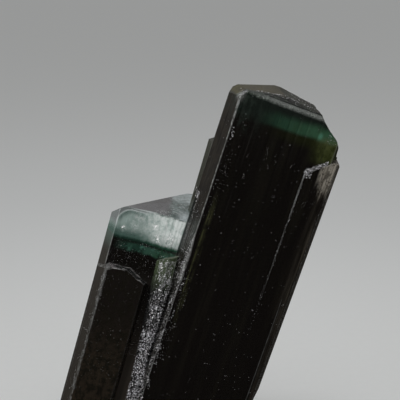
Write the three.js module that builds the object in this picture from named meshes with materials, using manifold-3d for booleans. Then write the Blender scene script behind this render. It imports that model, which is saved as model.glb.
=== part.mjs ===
// Tourmaline crystal: six striated prisms that grew side by side and fused into one solid.
// The group leans to the right and stands on the flat cut across its foot.
// Units are millimetres, +Z is up, +X is to the right and -Y is the front.

import * as THREE from "three";
import { mergeVertices } from "three/addons/utils/BufferGeometryUtils.js";
import Module from "manifold-3d";

// Driving dimensions.
// A prism is laid out in its own crystal frame: x runs across its front face, y runs back from that face,
// and z runs up its long axis. All frames share one origin, the front left shoulder of the tall prism.
const MAIN_LEAN = 17.6; // degrees from upright of the tall prism and its sidecar
const SIDE_LEAN = 15.9; // degrees from upright of the lower prisms, which fan out a little
const ETCHED_LEAN = 13.6; // degrees from upright of the etched prism in the groove
const FOOT_LEVEL = -42.4; // height of the flat cut, below the shoulder of the tall prism
const PRISM_LENGTH = 60; // long enough for every prism to pass the cut
const CUTTER_SIZE = 80; // side of the block that takes a face off

// Each section is an outline in x and y, counterclockwise seen from the tip.
// Each facet is a point on a plane and the plane's outward direction; what lies beyond it is taken off.
const PRISMS = [
  {
    // the tall prism, a rounded triangle in section with its broad face in front
    lean: MAIN_LEAN,
    pitch: 0,
    tip: 2,
    section: [
      [0, 0],
      [11.7, 0],
      [12.4, 1.5],
      [11.6, 3.9],
      [4.8, 8.3],
      [3.4, 8.1],
      [-0.9, 3.1],
      [-1.2, 2.2],
    ],
    facets: [
      { at: [4.4, 4, 0.62], facing: [-0.1, -0.03, 1] }, // left half of the summit
      { at: [4.4, 4, 0.62], facing: [0.13, -0.02, 1] }, // right half of the summit
      { at: [0, 0, 0], facing: [0.05, -0.8, 1] }, // front bevel
      { at: [-1.2, 2.2, -1], facing: [-1.1, -0.45, 1] }, // left bevel
      { at: [3.6, 8.1, -0.25], facing: [-0.7, 0.6, 1] }, // rear left bevel
      { at: [8.4, 5.9, -0.35], facing: [0.35, 0.6, 1] }, // rear right bevel
    ],
  },
  {
    // the sidecar, a flat prism on the right of the tall one; its front sinks into it lower down
    lean: MAIN_LEAN,
    pitch: 0.7,
    tip: -4,
    section: [
      [9.25, -0.25],
      [12.35, -0.3],
      [12.85, 0.7],
      [12.75, 2.6],
      [11, 4.2],
      [9.25, 3],
    ],
    facets: [
      { at: [12.2, 1, -4.6], facing: [-0.08, -0.1, 1] }, // top of its right end
      { at: [11.3, 0, -4.9], facing: [-0.75, -0.5, 1] }, // slope down to its left edge
      { at: [12.85, 1, -5], facing: [1, 0, 0.7] }, // right shoulder
    ],
  },
  {
    // the thin blade behind the tall prism
    lean: SIDE_LEAN,
    pitch: 0,
    tip: -6,
    section: [
      [-1.35, 3.3],
      [2.5, 3.3],
      [4.5, 7.6],
      [2.2, 8.3],
      [-0.9, 6],
      [-1.75, 4.6],
    ],
    facets: [{ at: [-1.75, 4.6, -7], facing: [-0.1, -0.1, 1] }],
  },
  {
    // the lower left prism
    lean: SIDE_LEAN,
    pitch: 0,
    tip: -13,
    section: [
      [-9.3, 2.2],
      [1.5, 2.2],
      [3, 9],
      [-0.5, 9.8],
      [-3.6, 9.3],
      [-9.6, 4.6],
      [-10.15, 3.6],
    ],
    facets: [
      { at: [-6.2, 2.6, -16.15], facing: [-0.13, -0.08, 1] }, // left half of the summit
      { at: [-3, 2.6, -16.15], facing: [-0.06, -0.2, 1] }, // right half of the summit
      { at: [-9.3, 2.2, -17], facing: [-1.05, -0.35, 1] }, // left bevel
      { at: [-7.25, 3.85, -16.2], facing: [-0.66, 0.4, 1] }, // rear left bevel
      { at: [-6, 2.2, -16.4], facing: [0, -0.7, 1] }, // front bevel
    ],
  },
  {
    // the plate that grew over the front of the lower left prism
    lean: SIDE_LEAN,
    pitch: 0,
    tip: -22,
    section: [
      [-9, 1.2],
      [-4.4, 1.25],
      [-3.9, 2.4],
      [-6, 4],
      [-10.1, 3.4],
      [-9.95, 2.7],
    ],
    facets: [
      { at: [-7.3, 1.4, -23.4], facing: [-0.06, -0.2, 1] }, // top
      { at: [-6.3, 1.4, -23.4], facing: [0.55, -0.2, 1] }, // slope down to the right
      { at: [-9, 1.2, -24.1], facing: [-0.5, -1, 1] }, // front bevel
      { at: [-9.95, 2.7, -24.4], facing: [-1, -0.3, 1] }, // left bevel
    ],
  },
  {
    // the narrow etched prism in the groove between the two big ones, a little narrower towards its foot
    lean: ETCHED_LEAN,
    pitch: 0.25,
    tip: -19,
    section: [
      [-4.75, 2.4],
      [-4.3, 1.15],
      [-3.3, 0.8],
      [-2.4, 1.1],
      [-1.6, 3],
      [-3.1, 4],
    ],
    facets: [
      { at: [-2.6, 0.9, -20.2], facing: [-0.5, 0.2, 1] }, // top
      { at: [-4.35, 1.1, -23], facing: [-1, -0.3, -0.03] }, // left side, drawn in
      { at: [-2.42, 1.1, -23], facing: [1, -0.3, -0.03] }, // right side, drawn in
    ],
  },
];

// Two broken places on the right edge of the group, as outlines in x and z of the main crystal frame.
// Each is cut right through from front to back, turned a little about the long axis.
const BREAKS = [
  {
    turn: 3,
    outline: [
      [8.65, 3],
      [8.7, 0.1],
      [9.5, -0.8],
      [10.2, -1.45],
      [11.5, -2.45],
      [11.95, -3.1],
      [12.1, -4.2],
      [14, -4.2],
      [14, 3],
    ],
  },
  {
    turn: 0,
    outline: [
      [12.35, -35],
      [12.9, -31.7],
      [15, -31.7],
      [15, -60],
      [12.35, -60],
    ],
  },
];
const BREAK_DEPTH = 40; // front to back reach of a break's cutter

const wasm = await Module();
wasm.setup();

function solidFrom(geometry) {
  const plain = geometry.clone();
  plain.deleteAttribute("normal");
  plain.deleteAttribute("uv");
  const merged = mergeVertices(plain, 1e-5);
  const mesh = new wasm.Mesh({
    numProp: 3,
    vertProperties: new Float32Array(merged.attributes.position.array),
    triVerts: new Uint32Array(merged.index.array),
  });
  return new wasm.Manifold(mesh);
}

function outlineShape(points) {
  return new THREE.Shape(points.map(([across, along]) => new THREE.Vector2(across, along)));
}

// The matrix that takes a prism's crystal frame to the upright frame.
function crystalMatrix(lean, pitch) {
  const turn = new THREE.Euler(
    THREE.MathUtils.degToRad(pitch),
    THREE.MathUtils.degToRad(lean),
    0,
    "YXZ",
  );
  return new THREE.Matrix4().makeRotationFromEuler(turn);
}

// A block whose near face lies on the facet's plane, so that it covers everything beyond it.
function facetCutter({ at, facing }) {
  const direction = new THREE.Vector3(...facing).normalize();
  const turn = new THREE.Quaternion().setFromUnitVectors(new THREE.Vector3(0, 0, 1), direction);
  const centre = new THREE.Vector3(...at).addScaledVector(direction, CUTTER_SIZE / 2);
  const block = new THREE.BoxGeometry(CUTTER_SIZE, CUTTER_SIZE, CUTTER_SIZE);
  return block.applyQuaternion(turn).translate(centre.x, centre.y, centre.z);
}

function prismSolid({ lean, pitch, tip, section, facets }) {
  const blank = new THREE.ExtrudeGeometry(outlineShape(section), {
    depth: PRISM_LENGTH,
    bevelEnabled: false,
  });
  blank.translate(0, 0, tip - PRISM_LENGTH);
  const toUpright = crystalMatrix(lean, pitch);
  let solid = solidFrom(blank.applyMatrix4(toUpright));
  for (const facet of facets) {
    solid = solid.subtract(solidFrom(facetCutter(facet).applyMatrix4(toUpright)));
  }
  return solid;
}

function breakSolid({ turn, outline }) {
  const cutter = new THREE.ExtrudeGeometry(outlineShape(outline), {
    depth: BREAK_DEPTH,
    bevelEnabled: false,
  });
  cutter.translate(0, 0, -BREAK_DEPTH / 2);
  cutter.rotateX(Math.PI / 2);
  cutter.rotateZ(THREE.MathUtils.degToRad(turn));
  return solidFrom(cutter.applyMatrix4(crystalMatrix(MAIN_LEAN, 0)));
}

function footCutter() {
  const block = new THREE.BoxGeometry(CUTTER_SIZE, CUTTER_SIZE, CUTTER_SIZE);
  return solidFrom(block.translate(0, 0, FOOT_LEVEL - CUTTER_SIZE / 2));
}

function crystalGeometry() {
  const [tall, sidecar, ...lower] = PRISMS.map(prismSolid);
  const [brokenCorner, flakedEdge] = BREAKS.map(breakSolid);
  let solid = tall.subtract(brokenCorner).add(sidecar).subtract(flakedEdge);
  for (const prism of lower) solid = solid.add(prism);
  const { vertProperties, triVerts } = solid.subtract(footCutter()).getMesh();
  const geometry = new THREE.BufferGeometry();
  geometry.setAttribute("position", new THREE.BufferAttribute(vertProperties, 3));
  geometry.setIndex(new THREE.BufferAttribute(triVerts, 1));
  return geometry;
}

// The origin moves to the middle of the foot's level, under the middle of the whole box.
function standOnOrigin(geometry) {
  geometry.computeBoundingBox();
  const { min, max } = geometry.boundingBox;
  return geometry.translate(-(min.x + max.x) / 2, -(min.y + max.y) / 2, -min.z);
}

const crystal = new THREE.Mesh(
  standOnOrigin(crystalGeometry()).toNonIndexed(),
  new THREE.MeshStandardMaterial({ color: 0x1c2318, roughness: 0.18, metalness: 0 }),
);
crystal.geometry.computeVertexNormals();
crystal.name = "tourmaline_crystal";

const group = new THREE.Group();
group.add(crystal);

export default group;
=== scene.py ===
"""Looks of a tourmaline crystal group: six fused prisms with striated sides, banded tips and etched grains.

Prisms are laid out in millimetres in their own crystal frames, as in the CAD model: x runs across the front
face, y back from it and z up the long axis, and every frame starts at the front left shoulder of the tall
prism. The finished meshes are brought to metres and to that shoulder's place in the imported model.
"""

import math

import bmesh
import bpy
import numpy as np
from mathutils import Matrix, Vector
from mathutils.bvhtree import BVHTree


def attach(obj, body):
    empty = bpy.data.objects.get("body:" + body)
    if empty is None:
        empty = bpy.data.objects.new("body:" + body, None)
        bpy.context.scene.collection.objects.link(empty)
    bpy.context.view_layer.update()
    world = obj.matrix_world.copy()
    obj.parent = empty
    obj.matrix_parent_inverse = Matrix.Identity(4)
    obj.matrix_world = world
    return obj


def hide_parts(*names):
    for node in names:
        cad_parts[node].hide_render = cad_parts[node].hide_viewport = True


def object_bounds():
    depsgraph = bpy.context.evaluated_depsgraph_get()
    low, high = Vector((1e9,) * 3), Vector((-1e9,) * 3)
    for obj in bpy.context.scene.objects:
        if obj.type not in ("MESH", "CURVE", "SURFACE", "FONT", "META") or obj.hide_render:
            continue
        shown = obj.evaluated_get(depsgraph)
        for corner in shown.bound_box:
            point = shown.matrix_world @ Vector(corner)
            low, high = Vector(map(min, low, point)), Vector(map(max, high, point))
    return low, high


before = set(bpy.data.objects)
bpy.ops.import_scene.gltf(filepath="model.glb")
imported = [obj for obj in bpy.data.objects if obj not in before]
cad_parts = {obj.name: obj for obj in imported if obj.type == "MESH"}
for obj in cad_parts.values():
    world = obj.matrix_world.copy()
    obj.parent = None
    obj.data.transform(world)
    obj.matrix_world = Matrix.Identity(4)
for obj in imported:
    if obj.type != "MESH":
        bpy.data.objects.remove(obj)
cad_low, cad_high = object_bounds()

MM = 0.001
MAIN_LEAN = 17.6  # degrees from upright of the tall prism and its sidecar
SIDE_LEAN = 15.9  # degrees from upright of the blade, the lower left prism and its plate
ETCHED_LEAN = 13.6  # degrees from upright of the etched prism in the groove
FOOT_LEVEL = -42.4  # the flat cut, below the shoulder of the tall prism
FOOT_MARGIN = 4.0  # how far a prism runs past the cut before it is taken off
BLOCK = 60.0  # side of a block that takes a face off

# Kinds of surface, kept as material slots while the solids are joined: slot = member + KINDS_STRIDE * kind.
KINDS_STRIDE = 8
GROWN, WORN, BROKEN = 0, 1, 2
SLOTS = 3 * KINDS_STRIDE
TALL, SIDECAR, BLADE, LOW, PLATE, ETCHED = range(6)

LOW_LEFT_CORNER = (-10.15, 3.6)  # section corner that gives the group its left extreme
LOW_REAR = 9.8  # back of the lower left prism, the group's rear extreme

TOURMALINE_IOR = 1.63
ABSORPTION_COLOUR, ABSORPTION_DENSITY = (0.55, 0.88, 0.78, 1), 40.0
FROST_COLOUR = (0.5, 0.51, 0.5)
CAP_FOOT = (-20.15, -19.65)  # heights between which the black body turns into the clear cap


# -------- frames


def lean_matrix(lean, pitch=0.0):
    """Rotation from a crystal frame to the upright frame."""
    return Matrix.Rotation(math.radians(lean), 4, "Y") @ Matrix.Rotation(math.radians(pitch), 4, "X")


def shoulder_position():
    """Where the tall prism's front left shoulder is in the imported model, in millimetres."""
    lean = math.radians(SIDE_LEAN)
    across = LOW_LEFT_CORNER[0]
    up = (FOOT_LEVEL + across * math.sin(lean)) / math.cos(lean)
    left = across * math.cos(lean) + up * math.sin(lean)
    return Vector((cad_low.x / MM - left, cad_high.y / MM - LOW_REAR, cad_low.z / MM - FOOT_LEVEL))


def placed(name, data):
    """An object of a mesh, lamp or camera, linked into the scene."""
    thing = bpy.data.objects.new(name, data)
    bpy.context.scene.collection.objects.link(thing)
    return thing


def to_model(mesh):
    """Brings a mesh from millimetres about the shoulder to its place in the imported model."""
    mesh.transform(Matrix.Translation(shoulder * MM) @ Matrix.Scale(MM, 4))


# -------- noise and relief


def value_noise(x, y, seed):
    """Smooth noise from -1 to 1 with features about one unit wide, which repeats after `period` units."""
    period = 256
    table = np.random.default_rng(seed).uniform(-1, 1, (period, period))
    column, row = np.floor(x).astype(int), np.floor(y).astype(int)
    fx, fy = x - column, y - row
    fx, fy = fx * fx * (3 - 2 * fx), fy * fy * (3 - 2 * fy)

    def line(at):
        left = table[column % period, at % period]
        right = table[(column + 1) % period, at % period]
        return left * (1 - fx) + right * fx

    return line(row) * (1 - fy) + line(row + 1) * fy


def rough(amount, size, seed, octaves=3):
    """A relief that only cuts inward, amount deep at most, from features of the given size down."""

    def relief(x, y):
        total = np.zeros(np.broadcast(x, y).shape)
        reach = 0.0
        for k in range(octaves):
            weight = 0.5**k
            total += weight * value_noise(x / size * 2**k, y / size * 2**k, seed + k)
            reach += weight
        return -amount * (0.5 + 0.5 * total / reach)

    return relief


def striae(length, depth, spacing, seed):
    """Depth of the long growth lines at places along a side and heights up it, as rows of heights."""
    left_smooth = 0.35  # share of the places along the side that have no line
    wave_range = (6, 20)  # a line deepens and fades again over this length
    rng = np.random.default_rng(seed)
    count = max(3, int(length / spacing))
    knots = np.sort(rng.uniform(0, length, count))
    depths = depth * rng.uniform(0, 1, count) ** 1.6
    depths[rng.uniform(size=count) < left_smooth] = 0.0
    wave = rng.uniform(*wave_range, count)
    phase = rng.uniform(0, 2 * math.pi, count)

    def relief(along, height):
        fades = [0.55 + 0.45 * np.sin(z / wave * 2 * math.pi + phase) for z in height]
        return np.array([np.interp(along, knots, depths * fade, left=0.0, right=0.0) for fade in fades])

    return relief


# -------- solids


def mesh_object(name, verts, faces, slots):
    """An object from arrays, with the placeholder slots that the joins keep."""
    mesh = bpy.data.meshes.new(name)
    mesh.from_pydata([tuple(v) for v in verts], [], [tuple(int(i) for i in f) for f in faces])
    for _ in range(SLOTS):
        mesh.materials.append(placeholder)
    mesh.polygons.foreach_set("material_index", slots)
    mesh.update()
    return placed(name, mesh)


def tube_faces(ring, rows):
    """Faces round a stack of rings of points, and a cap at each end."""
    faces = []
    for row in range(rows - 1):
        base = row * ring
        for i in range(ring):
            j = (i + 1) % ring
            faces.append((base + i, base + j, base + ring + j, base + ring + i))
    faces.append(tuple(reversed(range(ring))))
    faces.append(tuple(range((rows - 1) * ring, rows * ring)))
    return faces


def rounded_outline(section, radius, pitch, depth, spacing, seed):
    """A section with worn corners. Returns points, outward directions, worn flags and a relief per side."""
    arc_steps = 4
    most_rounded = 0.4  # a corner takes at most this share of each side
    corners = [np.array(p, float) for p in section]
    count = len(corners)
    points, worn, sides, cuts = [], [], [], []
    for k, corner in enumerate(corners):
        before, after = corners[k - 1] - corner, corners[(k + 1) % count] - corner
        d0, d1 = before / np.linalg.norm(before), after / np.linalg.norm(after)
        half = math.acos(np.clip(np.dot(d0, d1), -1, 1)) / 2
        reach = radius / math.tan(half)
        reach = min(reach, most_rounded * np.linalg.norm(before), most_rounded * np.linalg.norm(after))
        cuts.append((corner + d0 * reach, corner, corner + d1 * reach))
    for k in range(count):
        start, corner, end = cuts[k]
        for step in range(arc_steps):
            t = step / arc_steps
            points.append((1 - t) ** 2 * start + 2 * t * (1 - t) * corner + t * t * end)
            worn.append(True)
            sides.append((None, 0.0))
        after = cuts[(k + 1) % count][0]
        length = np.linalg.norm(after - end)
        steps = max(1, int(round(length / pitch)))
        relief = striae(length, depth, spacing, seed + k)
        for step in range(steps):
            t = step / steps
            points.append(end + (after - end) * t)
            worn.append(False)
            sides.append((relief, t * length))
    points = np.array(points)
    tangent = np.roll(points, -1, 0) - np.roll(points, 1, 0)
    tangent /= np.linalg.norm(tangent, axis=1)[:, None]
    outward = np.stack([tangent[:, 1], -tangent[:, 0]], 1)
    return points, outward, np.array(worn), sides


def prism(member, lean, section, tip, facets, pitch=0.0, wear=0.16, step=0.1, rings=0.7, depth=0.05,
          spacing=0.3, seed=1, grain=None):
    """One prism, with striated sides and worn edges, cut to its summit by its facets."""
    foot = FOOT_LEVEL / math.cos(math.radians(lean)) - FOOT_MARGIN
    points, outward, worn, sides = rounded_outline(section, wear, step, depth, spacing, seed)
    heights = np.linspace(foot, tip, max(2, int((tip - foot) / rings)))
    sunk = np.zeros((len(heights), len(points)))
    for relief in {id(r): r for r, _ in sides if r}.values():
        own = [i for i, (r, _) in enumerate(sides) if r is relief]
        sunk[:, own] = relief(np.array([sides[i][1] for i in own]), heights)
    if grain:
        around = np.cumsum(np.linalg.norm(np.roll(points, -1, 0) - points, axis=1))
        sunk = sunk - grain(around[None, :], heights[:, None])
    flat = points[None] - outward[None] * sunk[..., None]
    ring = len(points)
    verts = np.concatenate([flat, np.broadcast_to(heights[:, None, None], flat.shape[:2] + (1,))], 2)
    around_slots = [member + KINDS_STRIDE * (WORN if flag else GROWN) for flag in worn]
    slots = around_slots * (len(heights) - 1) + [member, member]
    upright = lean_matrix(lean, pitch)
    solid = mesh_object(f"prism_{member}", verts.reshape(-1, 3), tube_faces(ring, len(heights)), slots)
    solid.data.transform(upright)
    for facet in facets:
        cut(solid, facet_block(member, upright, **facet))
    return solid


def facet_block(member, upright, at, facing, kind=GROWN, relief=None, span=BLOCK, grid=0.0):
    """A block over a facet's plane. With a relief, its near face is a fine rough grid."""
    turn = Vector(facing).normalized().to_track_quat("Z", "Y").to_matrix().to_4x4()
    place = upright @ Matrix.Translation(at) @ turn
    half = span / 2
    count = int(span / grid) if relief else 1
    line = np.linspace(-half, half, count + 1)
    x, y = np.meshgrid(line, line, indexing="ij")
    z = relief(x, y) if relief else np.zeros_like(x)
    near = np.stack([x, y, z], -1).reshape(-1, 3)
    far = np.stack([x, y, np.full_like(x, span)], -1).reshape(-1, 3)
    n = count + 1
    index = np.arange(n * n).reshape(n, n)
    rim = [*index[:-1, 0], *index[-1, :-1], *index[:0:-1, -1], *index[0, :0:-1]]
    faces = [(index[i, j], index[i, j + 1], index[i + 1, j + 1], index[i + 1, j])
             for i in range(count) for j in range(count)]
    far_of = {int(v): n * n + k for k, v in enumerate(rim)}
    verts = list(near) + [far[v] for v in rim]
    for k, v in enumerate(rim):
        w = rim[(k + 1) % len(rim)]
        faces.append((v, w, far_of[int(w)], far_of[int(v)]))
    faces.append(tuple(far_of[int(v)] for v in rim))
    slots = [member + KINDS_STRIDE * kind] * len(faces)
    block = mesh_object("block", verts, faces, slots)
    block.data.transform(place)
    return block


def break_block(member, outline, turn, relief, pitch=0.15, reach=14.0, overshoot=8.0):
    """A cutter of an outline in x and z of the main frame, run through from front to back."""
    inner = [np.array(p, float) for p in outline]
    fine = []
    for a, b in zip(inner, inner[1:]):
        steps = max(1, int(np.linalg.norm(b - a) / pitch))
        fine += [a + (b - a) * s / steps for s in range(steps)]
    fine.append(inner[-1])
    fine = np.array(fine)
    tangent = np.gradient(fine, axis=0)
    tangent /= np.linalg.norm(tangent, axis=1)[:, None]
    inward = np.stack([tangent[:, 1], -tangent[:, 0]], 1)
    along = np.concatenate([[0], np.cumsum(np.linalg.norm(np.diff(fine, axis=0), axis=1))])
    depths = np.arange(-reach, reach + pitch, pitch)
    outer_side = fine[-1][0] + overshoot
    outer = np.array([[outer_side, fine[-1][1]], [outer_side, fine[0][1]]])
    verts = []
    for y in depths:
        moved = fine - inward * relief(along, np.full_like(along, y))[:, None]
        verts += [(x, y, z) for x, z in np.concatenate([moved, outer])]
    faces = tube_faces(len(fine) + len(outer), len(depths))
    block = mesh_object("break", verts, faces, [member + KINDS_STRIDE * BROKEN] * len(faces))
    block.data.transform(lean_matrix(MAIN_LEAN) @ Matrix.Rotation(math.radians(turn), 4, "Z"))
    outward_facing(block)
    return block


def outward_facing(obj):
    """Turns every face of a closed mesh outwards."""
    work = bmesh.new()
    work.from_mesh(obj.data)
    bmesh.ops.recalc_face_normals(work, faces=work.faces[:])
    work.to_mesh(obj.data)
    work.free()


def boolean(solid, other, operation):
    """Changes the solid by another one, which is used up."""
    outward_facing(other)
    modifier = solid.modifiers.new(operation, "BOOLEAN")
    modifier.solver = "MANIFOLD"
    modifier.operation = operation
    modifier.object = other
    made = bpy.data.meshes.new_from_object(solid.evaluated_get(bpy.context.evaluated_depsgraph_get()))
    solid.modifiers.clear()
    old = solid.data
    solid.data = made
    bpy.data.meshes.remove(old)
    spent = other.data
    bpy.data.objects.remove(other)
    bpy.data.meshes.remove(spent)
    if not made.polygons:
        raise RuntimeError(f"{solid.name}: nothing is left after {operation}")


def cut(solid, other):
    boolean(solid, other, "DIFFERENCE")


def join(solid, other):
    boolean(solid, other, "UNION")


# -------- the six prisms


def tall_prism():
    summit = (4.85, 4, 0.74)
    return prism(
        TALL, MAIN_LEAN, tip=2, wear=0.14, step=0.09, depth=0.05, spacing=0.22, seed=11,
        section=[(0, 0), (11.7, 0), (12.4, 1.5), (11.6, 3.9),
                 (4.8, 8.3), (3.4, 8.1), (-0.9, 3.1), (-1.2, 2.2)],
        facets=[
            dict(at=summit, facing=(-0.12, -0.03, 1)),
            dict(at=summit, facing=(0.15, -0.02, 1), kind=BROKEN, relief=rough(0.2, 1.2, 21),
                 span=26, grid=0.1),
            dict(at=(0, 0, 0), facing=(0.05, -0.8, 1)),
            dict(at=(-1.2, 2.2, -1), facing=(-1.1, -0.45, 1)),
            dict(at=(3.6, 8.1, -0.25), facing=(-0.7, 0.6, 1)),
            dict(at=(8.4, 5.9, -0.35), facing=(0.35, 0.6, 1)),
        ],
    )


def sidecar():
    return prism(
        SIDECAR, MAIN_LEAN, pitch=0.7, tip=-4, wear=0.12, step=0.08, depth=0.07, spacing=0.2, seed=31,
        section=[(9.25, -0.25), (12.35, -0.3), (12.85, 0.7), (12.75, 2.6), (11, 4.2), (9.25, 3)],
        facets=[
            dict(at=(12.2, 1, -4.6), facing=(-0.08, -0.1, 1)),
            dict(at=(11.3, 0, -4.9), facing=(-0.75, -0.5, 1), kind=BROKEN, relief=rough(0.25, 0.5, 41),
                 span=20, grid=0.12),
            dict(at=(12.85, 1, -5), facing=(1, 0, 0.7)),
        ],
    )


def blade():
    return prism(
        BLADE, SIDE_LEAN, tip=-6, wear=0.1, depth=0.05, spacing=0.25, seed=51,
        section=[(-1.35, 3.3), (2.5, 3.3), (4.5, 7.6), (2.2, 8.3), (-0.9, 6), (-1.75, 4.6)],
        facets=[dict(at=(-1.75, 4.6, -7), facing=(-0.1, -0.1, 1))],
    )


def low_prism():
    return prism(
        LOW, SIDE_LEAN, tip=-13, wear=0.13, step=0.09, depth=0.05, spacing=0.2, seed=61,
        section=[(-9.3, 2.2), (1.5, 2.2), (3, 9), (-0.5, LOW_REAR),
                 (-3.6, 9.3), (-9.6, 4.6), LOW_LEFT_CORNER],
        facets=[
            dict(at=(-6.2, 2.6, -16.15), facing=(-0.13, -0.08, 1)),
            dict(at=(-3, 2.6, -16.15), facing=(-0.06, -0.2, 1)),
            dict(at=(-9.3, 2.2, -17), facing=(-1.05, -0.35, 1)),
            dict(at=(-7.25, 3.85, -16.2), facing=(-0.66, 0.4, 1)),
            dict(at=(-6, 2.2, -16.4), facing=(0, -0.7, 1), kind=WORN, relief=rough(0.16, 1.6, 71, 2),
                 span=26, grid=0.2),
        ],
    )


def plate():
    return prism(
        PLATE, SIDE_LEAN, tip=-22, wear=0.12, step=0.09, depth=0.05, spacing=0.25, seed=81,
        section=[(-9, 1.2), (-4.4, 1.25), (-3.9, 2.4), (-6, 4), (-10.1, 3.4), (-9.95, 2.7)],
        facets=[
            dict(at=(-7.3, 1.4, -23.4), facing=(-0.06, -0.2, 1), kind=BROKEN, relief=rough(0.4, 1.0, 91),
                 span=20, grid=0.12),
            dict(at=(-6.3, 1.4, -23.4), facing=(0.55, -0.2, 1), kind=BROKEN, relief=rough(0.45, 0.8, 92),
                 span=20, grid=0.12),
            dict(at=(-9, 1.2, -24.1), facing=(-0.5, -1, 1), kind=WORN),
            dict(at=(-9.95, 2.7, -24.4), facing=(-1, -0.3, 1), kind=WORN),
        ],
    )


def etched_prism():
    """The narrow one in the groove, with a pitted surface."""
    return prism(
        ETCHED, ETCHED_LEAN, pitch=0.25, tip=-19, wear=0.1, step=0.08, rings=0.11, depth=0.08, spacing=0.25,
        seed=101, grain=rough(0.14, 0.22, 111, 2),
        section=[(-4.75, 2.4), (-4.3, 1.15), (-3.3, 0.8), (-2.4, 1.1), (-1.6, 3), (-3.1, 4)],
        facets=[
            dict(at=(-2.6, 0.9, -20.2), facing=(-0.5, 0.2, 1), kind=BROKEN, relief=rough(0.25, 0.4, 121),
                 span=16, grid=0.12),
            dict(at=(-4.35, 1.1, -23), facing=(-1, -0.3, -0.03)),
            dict(at=(-2.42, 1.1, -23), facing=(1, -0.3, -0.03)),
        ],
    )


def crystal_solid():
    solid = tall_prism()
    corner = [(12.1, -4.2), (11.95, -3.1), (11.5, -2.45), (10.2, -1.45), (9.5, -0.8), (8.7, 0.1), (8.65, 3)]
    cut(solid, break_block(TALL, corner, 3, rough(0.22, 0.9, 131)))
    join(solid, sidecar())
    flake = [(12.35, -60), (12.35, -35), (12.9, -31.7)]
    cut(solid, break_block(SIDECAR, flake, 0, rough(0.2, 1.3, 141), pitch=0.3))
    for make in (blade, low_prism, plate, etched_prism):
        join(solid, make())
    foot = facet_block(TALL, Matrix.Identity(4), at=(0, 0, FOOT_LEVEL), facing=(0, 0, -1), kind=BROKEN)
    cut(solid, foot)
    return solid


def welded(mesh, gap=0.0005):
    """Joins points that the booleans left a hair apart, and splits the faces with many corners."""
    work = bmesh.new()
    work.from_mesh(mesh)
    bmesh.ops.remove_doubles(work, verts=work.verts[:], dist=gap)
    bmesh.ops.dissolve_degenerate(work, edges=work.edges[:], dist=gap)
    bmesh.ops.triangulate(work, faces=[f for f in work.faces if len(f.verts) > 4])
    work.to_mesh(mesh)
    work.free()


def read_all(items, field, kind=int, width=1):
    """One field of all items of a mesh, as an array."""
    values = np.zeros(len(items) * width, kind)
    items.foreach_get(field, values)
    return values


def face_attribute(mesh, name, values):
    mesh.attributes.new(name, "FLOAT", "FACE").data.foreach_set("value", values)


def finished_solid():
    """The joined solid in metres, with crystal coordinates and kinds of surface as mesh attributes."""
    solid = crystal_solid()
    mesh = solid.data
    welded(mesh)
    slots = read_all(mesh.polygons, "material_index")
    member, kind = slots % KINDS_STRIDE, slots // KINDS_STRIDE
    places = read_all(mesh.vertices, "co", float, 3).reshape(-1, 3)
    corner_vert = read_all(mesh.loops, "vertex_index")
    on_main = np.isin(np.repeat(member, read_all(mesh.polygons, "loop_total")), (TALL, SIDECAR))
    local = np.zeros((len(corner_vert), 3))
    for lean, own in ((MAIN_LEAN, on_main), (SIDE_LEAN, ~on_main)):
        turn = np.array(lean_matrix(lean).to_3x3())
        local[own] = places[corner_vert[own]] @ turn
    mesh.attributes.new("crystal", "FLOAT_VECTOR", "CORNER").data.foreach_set("vector", local.ravel())
    face_attribute(mesh, "member", member.astype(float))
    face_attribute(mesh, "worn", (kind == WORN).astype(float))
    face_attribute(mesh, "broken", (kind == BROKEN).astype(float))
    mesh.polygons.foreach_set("material_index", np.zeros(len(slots), int))
    mesh.polygons.foreach_set("use_smooth", np.zeros(len(slots), bool))
    mesh.materials.clear()
    to_model(mesh)
    return solid


# -------- grains on the surface

SMALL, MIDDLING = (0.02, 0.045), (0.03, 0.07)  # radii of grains in millimetres


def upright_mesh_arrays(solid):
    """Corners and triangles of the solid in the upright frame, in millimetres from the shoulder."""
    mesh = solid.data
    mesh.calc_loop_triangles()
    corners = [(v.co - shoulder * MM) / MM for v in mesh.vertices]
    triangles = [tuple(t.vertices) for t in mesh.loop_triangles]
    return corners, triangles


def ray_hits(tree, starts, direction):
    """Points and outward directions where rays from the starts first meet a face not seen edge on."""
    facing = -0.15
    hits = []
    for start in starts:
        point, normal, _, _ = tree.ray_cast(Vector(start), direction)
        if point is not None and normal.dot(direction) < facing:
            hits.append((np.array(point), np.array(normal)))
    return hits


def bunched(rng, count, across, up, bunches, spread):
    """Places in small elongated bunches over a patch, as width and height."""
    middles = np.stack([rng.uniform(*across, bunches), rng.uniform(*up, bunches)], 1)
    picked = middles[rng.integers(0, bunches, count)]
    return (picked + rng.normal(size=(count, 2)) * spread).T


def cluster_starts(rng, count, lean, across, up=None, back=None, slope=0.0, streak=None, bunches=0):
    """Starts of rays over a patch of one crystal frame. They look back, or down if `back` is given."""
    in_front, above = -12.0, 8.0
    turn = np.array(lean_matrix(lean).to_3x3())
    x = rng.uniform(*across, count)
    if back:
        local = np.stack([x, rng.uniform(*back, count), np.full(count, above)], 1)
        ahead = turn @ np.array([0, 0, -1.0])
    else:
        if bunches:
            x, height = bunched(rng, count, across, up, bunches, spread=(0.07, 0.2))
        else:
            height = rng.uniform(*up, count) + slope * (x - across[0])
        local = np.stack([x, np.full(count, in_front), height], 1)
        ahead = np.array([0, 1.0, 0])
    if streak:
        wide, tall, keep = streak
        density = value_noise(local[:, 0] / wide, local[:, 2] / tall, 7) * 0.5 + 0.5
        local = local[density > rng.uniform(0, 1, count) * (1 - keep) + keep * 0.5]
    return local @ turn.T, Vector(ahead)


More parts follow.
